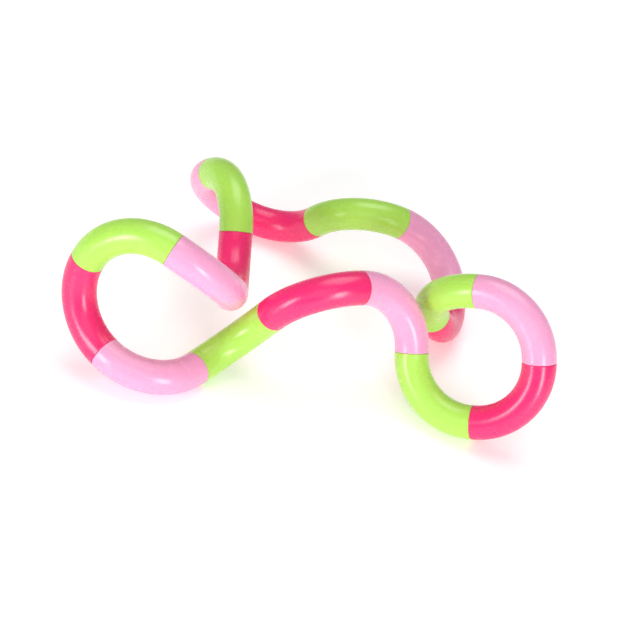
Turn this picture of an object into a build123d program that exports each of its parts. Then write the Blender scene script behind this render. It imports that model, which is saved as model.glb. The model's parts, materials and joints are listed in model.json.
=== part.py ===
from build123d import *
import os
import numpy as np

# A closed loop of quarter-bend tube segments. Each segment turns on the next about their shared axis.
# Lengths are in millimetres and angles in degrees. +Z is up and the floor is z = 0.

segment_count = 18
tube_radius = 5.25
bend_radius = 20.0          # from the bend's corner to the axis of each end
collar_length = 0.5         # short straight run at each end of the bend
wall_thickness = 1.4
end_wall_thickness = 2.2
end_rim_rounding = 0.2

# Half of the running gap between two neighbouring end faces, and the wider one at the opened pivot.
face_setback = 0.05
opened_face_setback = 0.4
opened_pivot = 10           # the pivot between segments 10 and 11

# The moulded swivel stem and the hole it turns in.
stem_radius = 2.0
stem_clearance = 0.05
stem_head_radius = 2.6
stem_head_length = 1.3
stem_head_lead_in = 0.5
shoulder_gap = 0.1
stem_slot_width = 0.8
stem_slot_start = 0.5       # solid root of the stem, before the slot begins

# Locating pegs that line up the two glued halves.
peg_radius = 0.45
peg_height = 0.9
peg_hole_clearance = 0.05
peg_hole_depth = 1.1
peg_offset = 3.6            # from the tube's axis

# How far each pivot is turned from a flat curl, from pivot 1 round to pivot 18.
pivot_turns = [
    107, 154, -62, -127, 5, -6,
    -52, -105, -36, -99, -168, -17,
    -66, -154, 60, 54, 17, -75,
]

# The three segments the loop rests on. +X runs from the first of them towards the second.
resting_segments = [1, 5, 12]


def follow_chain(turns):
    """Direction and position of the tube's axis at every pivot, and where the loop ends up."""
    directions = [np.array([1.0, 0.0, 0.0]), np.array([0.0, 1.0, 0.0])]
    for turn in turns:
        before, here = directions[-2], directions[-1]
        curl = -before
        side = np.cross(here, curl)
        angle = np.radians(turn)
        directions.append(np.cos(angle) * curl + np.sin(angle) * side)
    points = [np.zeros(3)]
    for start, end in zip(directions[:segment_count], directions[1:segment_count + 1]):
        points.append(points[-1] + bend_radius * (start + end))
    return directions, points


def closing_error(turns):
    """How far the loop is from meeting itself: the gap, then the two directions."""
    directions, points = follow_chain(turns)
    gap = (points[-1] - points[0]) / bend_radius
    return np.concatenate([gap, directions[-2] - directions[0], directions[-1] - directions[1]])


def close_loop(turns):
    """The least change to the turns that makes the loop meet itself."""
    turns = np.array(turns, dtype=float)
    small = 0.001
    for _ in range(12):
        columns = []
        for step in np.eye(segment_count) * small:
            columns.append((closing_error(turns + step) - closing_error(turns - step)) / (2 * small))
        turns = turns - np.linalg.lstsq(np.array(columns).T, closing_error(turns), rcond=1e-8)[0]
    return turns


def axis_line(directions, points, segment):
    """Points along the axis of one segment's bend."""
    start, end = directions[segment - 1], directions[segment]
    corner = points[segment - 1] + bend_radius * end
    centre = corner + collar_length * (start - end)
    radius = bend_radius - collar_length
    angles = np.linspace(0, np.pi / 2, 181)
    return np.array([centre + radius * (np.sin(a) * start - np.cos(a) * end) for a in angles])


def floor_frame(directions, points):
    """Axes of the floor the loop rests on, as rows."""
    lines = [axis_line(directions, points, segment) for segment in resting_segments]
    contacts = [line[90] for line in lines]
    for _ in range(20):
        up = np.cross(contacts[1] - contacts[0], contacts[2] - contacts[0])
        up = up / np.linalg.norm(up)
        contacts = [line[np.argmin(line @ up)] for line in lines]
    across = contacts[1] - contacts[0]
    across = across - (across @ up) * up
    across = across / np.linalg.norm(across)
    return np.array([across, np.cross(up, across), up])


def place_loop():
    """Directions and points of the closed loop, standing on the floor at the origin."""
    directions, points = follow_chain(close_loop(pivot_turns))
    frame = floor_frame(directions, points)
    directions = [frame @ direction for direction in directions]
    points = [frame @ point for point in points]
    outline = np.vstack([axis_line(directions, points, k) for k in range(1, segment_count + 1)])
    low, high = outline.min(axis=0), outline.max(axis=0)
    middle = (low + high) / 2
    shift = np.array([-middle[0], -middle[1], tube_radius - low[2]])
    return directions, [point + shift for point in points]


def build_segment(start_setback, end_setback, has_stem):
    """One whole quarter bend, from its socket end at (bend_radius, 0) to its stem end at (0, bend_radius)."""
    bend_axis = Axis((collar_length, collar_length, 0), (0, 0, 1))
    cavity_radius = tube_radius - wall_thickness
    shortest_collar = collar_length - max(start_setback, end_setback)
    rim_rounding = min(end_rim_rounding, 0.9 * shortest_collar)

    with BuildPart() as cavity:
        with BuildSketch(Plane(origin=(bend_radius, collar_length, 0), z_dir=(0, 1, 0))):
            Circle(cavity_radius)
        revolve(axis=bend_axis, revolution_arc=90)
        with Locations((bend_radius, end_wall_thickness / 2, 0)):
            Box(4 * tube_radius, end_wall_thickness, 4 * tube_radius, mode=Mode.SUBTRACT)
        with Locations((end_wall_thickness / 2, bend_radius, 0)):
            Box(end_wall_thickness, 4 * tube_radius, 4 * tube_radius, mode=Mode.SUBTRACT)

    with BuildPart() as segment:
        with BuildSketch(Plane(origin=(bend_radius, start_setback, 0), z_dir=(0, 1, 0))):
            Circle(tube_radius)
        extrude(amount=collar_length - start_setback)
        with BuildSketch(Plane(origin=(bend_radius, collar_length, 0), z_dir=(0, 1, 0))):
            Circle(tube_radius)
        revolve(axis=bend_axis, revolution_arc=90)
        with BuildSketch(Plane(origin=(collar_length, bend_radius, 0), z_dir=(-1, 0, 0))):
            Circle(tube_radius)
        extrude(amount=collar_length - end_setback)
        start_rim = segment.edges().filter_by(GeomType.CIRCLE).sort_by(Axis.Y)[0]
        end_rim = segment.edges().filter_by(GeomType.CIRCLE).sort_by(Axis.X)[0]
        fillet([start_rim, end_rim], radius=rim_rounding)
        add(cavity.part, mode=Mode.SUBTRACT)

        # The hole that the neighbour's stem turns in.
        with BuildSketch(Plane(origin=(bend_radius, 0, 0), z_dir=(0, 1, 0))):
            Circle(stem_radius + stem_clearance)
        extrude(amount=end_wall_thickness + 0.5, mode=Mode.SUBTRACT)

        if has_stem:
            shoulder = end_wall_thickness + shoulder_gap
            with BuildSketch(Plane(origin=(end_setback + 0.5, bend_radius, 0), z_dir=(-1, 0, 0))):
                Circle(stem_radius)
            extrude(amount=end_setback + 0.5 + shoulder)
            with BuildSketch(Plane(origin=(-shoulder, bend_radius, 0), z_dir=(-1, 0, 0))):
                Circle(stem_head_radius)
            extrude(amount=stem_head_length)
            tip = segment.faces().sort_by(Axis.X)[0]
            chamfer(tip.edges(), length=stem_head_lead_in)
            slot_length = shoulder + stem_head_length - stem_slot_start
            with Locations((-stem_slot_start - slot_length / 2, bend_radius, 0)):
                Box(slot_length, 4 * stem_head_radius, stem_slot_width, mode=Mode.SUBTRACT)
    return segment.part


def peg_places():
    """Centres of the four pegs, two beside the hole in each end wall."""
    middle = (end_wall_thickness + face_setback) / 2
    return [
        (bend_radius - peg_offset, middle),
        (bend_radius + peg_offset, middle),
        (middle, bend_radius - peg_offset),
        (middle, bend_radius + peg_offset),
    ]


def build_half(whole, side):
    """The left half keeps the pegs and the right half has the holes they sit in."""
    with BuildPart() as half:
        add(whole)
        if side == "left":
            split(bisect_by=Plane.XY, keep=Keep.TOP)
            with BuildSketch(Plane.XY.offset(-peg_height)):
                with Locations(*peg_places()):
                    Circle(peg_radius)
            extrude(amount=peg_height + 0.3)
        else:
            split(bisect_by=Plane.XY, keep=Keep.BOTTOM)
            with BuildSketch(Plane.XY.offset(-peg_hole_depth)):
                with Locations(*peg_places()):
                    Circle(peg_radius + peg_hole_clearance)
            extrude(amount=peg_hole_depth, mode=Mode.SUBTRACT)
    return half.part


def halves_for(start_setback, end_setback, has_stem):
    whole = build_segment(start_setback, end_setback, has_stem)
    return {side: build_half(whole, side) for side in ("left", "right")}


plain_halves = halves_for(face_setback, face_setback, True)
before_opening = halves_for(face_setback, opened_face_setback, False)
after_opening = halves_for(opened_face_setback, face_setback, True)

os.makedirs("parts", exist_ok=True)
directions, points = place_loop()
for segment in range(1, segment_count + 1):
    halves = plain_halves
    if segment == opened_pivot:
        halves = before_opening
    if segment == opened_pivot + 1:
        halves = after_opening
    start, end = directions[segment - 1], directions[segment]
    corner = points[segment - 1] + bend_radius * end
    seat = Plane(origin=tuple(corner), x_dir=tuple(-end), z_dir=tuple(np.cross(start, end)))
    for side, half in halves.items():
        name = f"segment_{segment:02d}_{side}_half"
        placed = half.moved(seat.location)
        placed.label = name
        export_step(placed, f"parts/{name}.step")
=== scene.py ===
import bpy
import bmesh
import json
import math
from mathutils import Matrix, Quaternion, Vector


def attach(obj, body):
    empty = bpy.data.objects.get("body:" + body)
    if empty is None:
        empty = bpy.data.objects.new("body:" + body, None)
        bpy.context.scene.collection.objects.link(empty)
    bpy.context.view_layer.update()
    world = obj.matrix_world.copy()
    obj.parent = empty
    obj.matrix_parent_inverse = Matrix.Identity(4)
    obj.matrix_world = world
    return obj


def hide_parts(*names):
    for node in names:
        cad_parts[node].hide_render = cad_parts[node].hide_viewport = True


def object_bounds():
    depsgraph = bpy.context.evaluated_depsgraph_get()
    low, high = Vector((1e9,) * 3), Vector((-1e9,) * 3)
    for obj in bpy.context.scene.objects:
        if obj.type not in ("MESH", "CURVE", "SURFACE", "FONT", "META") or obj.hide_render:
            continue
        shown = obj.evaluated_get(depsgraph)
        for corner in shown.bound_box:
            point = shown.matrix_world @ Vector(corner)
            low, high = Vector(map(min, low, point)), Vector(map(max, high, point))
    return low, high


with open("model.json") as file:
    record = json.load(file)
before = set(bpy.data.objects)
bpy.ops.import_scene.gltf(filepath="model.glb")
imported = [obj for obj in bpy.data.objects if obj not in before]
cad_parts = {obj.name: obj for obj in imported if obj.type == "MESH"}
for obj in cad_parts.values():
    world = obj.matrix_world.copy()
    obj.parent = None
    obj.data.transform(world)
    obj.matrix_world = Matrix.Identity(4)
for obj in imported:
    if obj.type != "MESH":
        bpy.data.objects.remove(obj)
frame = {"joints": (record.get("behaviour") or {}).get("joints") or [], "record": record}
cad_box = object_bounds()

# One quarter-bend segment. Lengths are in metres and angles in degrees, and +Z is up.
SEGMENT_COUNT = 18
TUBE_RADIUS = 0.00525
BEND_RADIUS = 0.020             # from the bend's corner to the axis of each end
COLLAR_LENGTH = 0.0005          # short straight run at each end of the bend
END_GAP = 0.00003               # from an end face to the pivot's plane
RIM_ROUNDING = 0.0002

# The moulded swivel: a stem on one end, and the socket it snaps into on the other.
STEM_RADIUS = 0.0020
STEM_CLEARANCE = 0.00005
STEM_HEAD_RADIUS = 0.0026
STEM_HEAD_START = 0.0023
STEM_HEAD_LENGTH = 0.0013
STEM_HEAD_LEAD_IN = 0.0005
END_WALL = 0.0022
SOCKET_ROOM_RADIUS = 0.0031
SOCKET_DEPTH = 0.0042
OPENED_PIVOT = 10               # the segment before this pivot has no stem
SOCKET_MOUNT_INSET = 0.0013     # from the opened pivot's plane to the point of the socket's mount

# The fine line where the two glued halves meet, on the plane of the bend.
PARTING_HALF_WIDTH = 0.00007
PARTING_DEPTH = 0.00004

# How finely the mesh is divided, and the angle from which an edge is shaded as sharp.
BEND_STEPS = 60
HALF_ROUND_STEPS = 48
RIM_STEPS = 6
SHARP_ANGLE = 20

# The moulded plastic. Each colour has a main tone and a deeper one that swirls through it.
COLOURS = {
    "pale_pink": ((0.96, 0.40, 0.635), (0.92, 0.365, 0.60)),
    "lime_green": ((0.46, 0.81, 0.105), (0.42, 0.77, 0.090)),
    "hot_pink": ((0.95, 0.020, 0.175), (0.90, 0.016, 0.150)),
}
SWIRL_SCALE = 70.0              # noise scales are in cells per metre
SWIRL_DETAIL = 3.0
SWIRL_NOISE_RANGE = (0.35, 0.75)
SWIRL_SHARES = (0.0, 0.6)       # share of the deeper tone at the ends of the noise range
SCUFF_SCALE = 400.0
SCUFF_DETAIL = 3.0
SCUFF_NOISE_RANGE = (0.3, 0.7)
SCUFF_ROUGHNESSES = (0.25, 0.29)
RIPPLE_SCALE = 220.0
RIPPLE_DETAIL = 2.0
RIPPLE_STRENGTH = 0.05
RIPPLE_HEIGHT = 0.00008
PLASTIC_IOR = 1.59
SUBSURFACE_WEIGHT = 0.15
SUBSURFACE_RADIUS = (1.0, 0.5, 0.6)
SUBSURFACE_SCALE = 0.0015

FLOOR_HALF = 3.0
FLOOR_COLOUR = (0.94, 0.94, 0.94, 1.0)
FLOOR_ROUGHNESS = 0.5
FLOOR_GLOW = 0.28               # emission that keeps the floor white from the camera's side

WHITE = (1.0, 1.0, 1.0, 1.0)
WORLD_STRENGTH = 0.36
LIT_HEIGHT = 0.02               # the lights are aimed at this height over the middle of the part

CAMERA_PLACE = (-0.0481, -0.4747, 0.3846)
VIEW_AZIMUTH = 83.465
VIEW_ELEVATION = -38.639
VIEW_ROLL = 13.565
LENS_LENGTH = 107.6             # lens and sensor are in millimetres
SENSOR_WIDTH = 36.0
CLIP_START = 0.01
CLIP_END = 20.0


def new_object(name, data):
    item = bpy.data.objects.new(name, data)
    bpy.context.scene.collection.objects.link(item)
    return item


# ---------------------------------------------------------------- materials

def new_material(name):
    material = bpy.data.materials.new(name)
    material.use_nodes = True
    nodes, links = material.node_tree.nodes, material.node_tree.links
    nodes.clear()
    output = nodes.new("ShaderNodeOutputMaterial")
    shader = nodes.new("ShaderNodeBsdfPrincipled")
    links.new(shader.outputs["BSDF"], output.inputs["Surface"])
    return material, nodes, links, shader


def add_noise(nodes, links, place, scale, detail):
    node = nodes.new("ShaderNodeTexNoise")
    node.inputs["Scale"].default_value = scale
    node.inputs["Detail"].default_value = detail
    links.new(place, node.inputs["Vector"])
    return node.outputs["Fac"]


def add_range(nodes, links, value, from_range, to_range):
    node = nodes.new("ShaderNodeMapRange")
    node.inputs["From Min"].default_value = from_range[0]
    node.inputs["From Max"].default_value = from_range[1]
    node.inputs["To Min"].default_value = to_range[0]
    node.inputs["To Max"].default_value = to_range[1]
    links.new(value, node.inputs["Value"])
    return node.outputs["Result"]


def moulded_plastic(name, colour, deep_colour):
    """Glossy plastic with a faint swirl in its colour, fine scuffs in its gloss and a slight ripple."""
    material, nodes, links, shader = new_material(name)
    place = nodes.new("ShaderNodeTexCoord").outputs["Object"]

    swirl = add_noise(nodes, links, place, SWIRL_SCALE, SWIRL_DETAIL)
    share = add_range(nodes, links, swirl, SWIRL_NOISE_RANGE, SWIRL_SHARES)
    mix = nodes.new("ShaderNodeMix")
    mix.data_type = "RGBA"
    mix.inputs["A"].default_value = (*colour, 1.0)
    mix.inputs["B"].default_value = (*deep_colour, 1.0)
    links.new(share, mix.inputs["Factor"])
    links.new(mix.outputs["Result"], shader.inputs["Base Color"])

    scuffs = add_noise(nodes, links, place, SCUFF_SCALE, SCUFF_DETAIL)
    roughness = add_range(nodes, links, scuffs, SCUFF_NOISE_RANGE, SCUFF_ROUGHNESSES)
    links.new(roughness, shader.inputs["Roughness"])

    ripple = add_noise(nodes, links, place, RIPPLE_SCALE, RIPPLE_DETAIL)
    bump = nodes.new("ShaderNodeBump")
    bump.inputs["Strength"].default_value = RIPPLE_STRENGTH
    bump.inputs["Distance"].default_value = RIPPLE_HEIGHT
    links.new(ripple, bump.inputs["Height"])
    links.new(bump.outputs["Normal"], shader.inputs["Normal"])

    shader.inputs["IOR"].default_value = PLASTIC_IOR
    shader.inputs["Subsurface Weight"].default_value = SUBSURFACE_WEIGHT
    shader.inputs["Subsurface Radius"].default_value = SUBSURFACE_RADIUS
    shader.inputs["Subsurface Scale"].default_value = SUBSURFACE_SCALE
    return material


plastics = {
    slot: moulded_plastic(f"{slot}_plastic", colour, deep_colour)
    for slot, (colour, deep_colour) in COLOURS.items()
}
slots = {part["node"]: part["material_slot"] for part in frame["record"]["subparts"]}


# ---------------------------------------------------------------- where the pivots are

pivots = {}
for joint in frame["joints"]:
    number = int(joint["name"].split("_")[1])
    pivots[number] = (Vector(joint["pos_m"]), Vector(joint["axis"]).normalized())

# The opened pivot isn't a joint. The empty socket there looks back along the tube.
socket = frame["record"]["mounts"][0]
socket_axis = Vector(socket["axis"]).normalized()
pivots[OPENED_PIVOT] = (Vector(socket["pos_m"]) + SOCKET_MOUNT_INSET * socket_axis, -socket_axis)
pivots[0] = pivots[SEGMENT_COUNT]


# ---------------------------------------------------------------- segments
# A segment is drawn in the plane of its bend: its socket end is at (BEND_RADIUS, 0) and looks
# towards -Y, and its stem end is at (0, BEND_RADIUS) and looks towards -X.

ARC_RADIUS = BEND_RADIUS - COLLAR_LENGTH
ARC_LENGTH = ARC_RADIUS * math.pi / 2
TUBE_LENGTH = ARC_LENGTH + 2 * COLLAR_LENGTH


def on_first_axis(distance):
    """Point and outward direction on the straight axis of the socket end."""
    return Vector((BEND_RADIUS, distance, 0)), Vector((1, 0, 0))


def on_bend(distance):
    """Point and outward direction on the tube's axis, which runs on straight beyond the bend."""
    if distance < COLLAR_LENGTH:
        return on_first_axis(distance)
    if distance > COLLAR_LENGTH + ARC_LENGTH:
        return Vector((TUBE_LENGTH - distance, BEND_RADIUS, 0)), Vector((0, 1, 0))
    angle = (distance - COLLAR_LENGTH) / ARC_RADIUS
    outward = Vector((math.cos(angle), math.sin(angle), 0))
    return Vector((COLLAR_LENGTH, COLLAR_LENGTH, 0)) + ARC_RADIUS * outward, outward


def rim(face, inward):
    """(distance, radius) round the rim of an end face, from the face out to the skin."""
    points = []
    for step in range(RIM_STEPS + 1):
        turn = math.pi / 2 * step / RIM_STEPS
        distance = face + inward * RIM_ROUNDING * (1 - math.cos(turn))
        points.append((distance, TUBE_RADIUS - RIM_ROUNDING * (1 - math.sin(turn))))
    return points


def ring_places(has_stem):
    """(point, outward direction, radius) of every ring, from the socket's floor to the stem's tip."""
    hole_radius = STEM_RADIUS + STEM_CLEARANCE
    in_socket = [
        (SOCKET_DEPTH, 0),
        (SOCKET_DEPTH, SOCKET_ROOM_RADIUS),
        (END_WALL, SOCKET_ROOM_RADIUS),
        (END_WALL, hole_radius),
        (END_GAP, hole_radius),
    ]
    start_rim = rim(END_GAP, 1)
    end_face = TUBE_LENGTH - END_GAP
    end_rim = rim(end_face, -1)[::-1]
    skin_start, skin_end = start_rim[-1][0], end_rim[0][0]
    skin = [
        (skin_start + (skin_end - skin_start) * step / BEND_STEPS, TUBE_RADIUS)
        for step in range(1, BEND_STEPS)
    ]
    head_start = TUBE_LENGTH + STEM_HEAD_START
    head_end = head_start + STEM_HEAD_LENGTH
    stem = [
        (end_face, STEM_RADIUS),
        (head_start, STEM_RADIUS),
        (head_start, STEM_HEAD_RADIUS),
        (head_end - STEM_HEAD_LEAD_IN, STEM_HEAD_RADIUS),
        (head_end, STEM_HEAD_RADIUS - STEM_HEAD_LEAD_IN),
        (head_end, 0),
    ]
    past_rim = stem if has_stem else [(end_face, 0)]
    places = [(*on_first_axis(distance), radius) for distance, radius in in_socket]
    for distance, radius in start_rim + skin + end_rim + past_rim:
        places.append((*on_bend(distance), radius))
    return places


def angles_round_tube():
    """(angle, depth below the skin) round a ring. The parting line is on the plane of the bend."""
    half_line = PARTING_HALF_WIDTH / TUBE_RADIUS
    angles = []
    for side in (0, math.pi):
        angles.append((side, PARTING_DEPTH))
        for step in range(HALF_ROUND_STEPS + 1):
            share = step / HALF_ROUND_STEPS
            angles.append((side + half_line + share * (math.pi - 2 * half_line), 0))
    return angles


def segment_mesh(name, has_stem):
    """One closed mesh, with its skin, socket and stem."""
    up = Vector((0, 0, 1))
    angles = angles_round_tube()
    mesh = bmesh.new()
    rings = []
    for centre, outward, radius in ring_places(has_stem):
        if radius == 0:
            rings.append([mesh.verts.new(centre)] * len(angles))
            continue
        ring = []
        for angle, depth in angles:
            reach = radius - (depth if radius == TUBE_RADIUS else 0)
            way = math.cos(angle) * outward + math.sin(angle) * up
            ring.append(mesh.verts.new(centre + reach * way))
        rings.append(ring)
    for ring, following in zip(rings, rings[1:]):
        for i in range(len(angles)):
            corners = [ring[i - 1], ring[i], following[i], following[i - 1]]
            mesh.faces.new(list(dict.fromkeys(corners)))
    bmesh.ops.recalc_face_normals(mesh, faces=mesh.faces)
    for face in mesh.faces:
        face.smooth = True
    for edge in mesh.edges:
        edge.smooth = edge.calc_face_angle() < math.radians(SHARP_ANGLE)
    data = bpy.data.meshes.new(name)
    mesh.to_mesh(data)
    mesh.free()
    return data


for number in range(1, SEGMENT_COUNT + 1):
    body = f"segment_{number:02d}"
    halves = [f"{body}_left_half", f"{body}_right_half"]
    colour = slots[halves[0]]
    start, start_axis = pivots[number - 1]
    end_axis = pivots[number][1]

    data = segment_mesh(f"{body}_tube", number != OPENED_PIVOT)
    data.materials.append(plastics[colour])
    piece = new_object(f"{body}_tube", data)

    # The bend's own X, Y and Z, and its corner, in the shared frame.
    across = -end_axis
    upright = across.cross(start_axis)
    corner = start + BEND_RADIUS * end_axis
    for vertex in data.vertices:
        x, y, z = vertex.co
        vertex.co = corner + x * across + y * start_axis + z * upright

    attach(piece, body)
    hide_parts(*halves)


# ---------------------------------------------------------------- floor, light and camera

low, high = cad_box
middle = Vector(((low.x + high.x) / 2, (low.y + high.y) / 2, LIT_HEIGHT))

floor_data = bpy.data.meshes.new("floor")
floor_corners = [(-FLOOR_HALF, -FLOOR_HALF, 0), (FLOOR_HALF, -FLOOR_HALF, 0),
                 (FLOOR_HALF, FLOOR_HALF, 0), (-FLOOR_HALF, FLOOR_HALF, 0)]
floor_data.from_pydata(floor_corners, [], [(0, 1, 2, 3)])
floor = new_object("floor", floor_data)
floor_material, _, _, floor_shader = new_material("white_acrylic_floor")
floor_shader.inputs["Base Color"].default_value = FLOOR_COLOUR
floor_shader.inputs["Roughness"].default_value = FLOOR_ROUGHNESS
floor_shader.inputs["Emission Color"].default_value = WHITE
floor_shader.inputs["Emission Strength"].default_value = FLOOR_GLOW
floor_data.materials.append(floor_material)


def towards(azimuth, elevation):
    """Unit vector at an azimuth, where 0 is +X and 90 is +Y, and an elevation above the floor."""
    a, e = math.radians(azimuth), math.radians(elevation)
    return Vector((math.cos(a) * math.cos(e), math.sin(a) * math.cos(e), math.sin(e)))


def softbox(name, azimuth, elevation, distance, width, height, power):
    light = bpy.data.lights.new(name, "AREA")
    light.shape = "RECTANGLE"
    light.size, light.size_y = width, height
    light.energy = power
    lamp = new_object(name, light)
    way = towards(azimuth, elevation)
    lamp.location = middle + distance * way
    lamp.rotation_mode = "QUATERNION"
    lamp.rotation_quaternion = (-way).to_track_quat("-Z", "Y")


for name, azimuth in (("left_softbox", -138), ("right_softbox", -62)):
    softbox(name, azimuth, elevation=12, distance=0.6, width=0.12, height=0.26, power=1.25)
softbox("front_fill", azimuth=-98, elevation=40, distance=0.42, width=0.30, height=0.30, power=0.20)
softbox("overhead_softbox", azimuth=84, elevation=73, distance=3.0, width=2.1, height=2.1, power=36.0)

world = bpy.data.worlds.new("white_studio")
world.use_nodes = True
background = world.node_tree.nodes["Background"]
background.inputs["Color"].default_value = WHITE
background.inputs["Strength"].default_value = WORLD_STRENGTH
scene = bpy.context.scene
scene.world = world
scene.view_settings.view_transform = "Standard"

camera_data = bpy.data.cameras.new("camera")
camera_data.sensor_width = SENSOR_WIDTH
camera_data.lens = LENS_LENGTH
camera_data.clip_start, camera_data.clip_end = CLIP_START, CLIP_END
camera = new_object("camera", camera_data)
camera.location = CAMERA_PLACE
camera.rotation_mode = "QUATERNION"
level_view = towards(VIEW_AZIMUTH, VIEW_ELEVATION).to_track_quat("-Z", "Y")
camera.rotation_quaternion = level_view @ Quaternion((0, 0, 1), math.radians(VIEW_ROLL))
scene.camera = camera
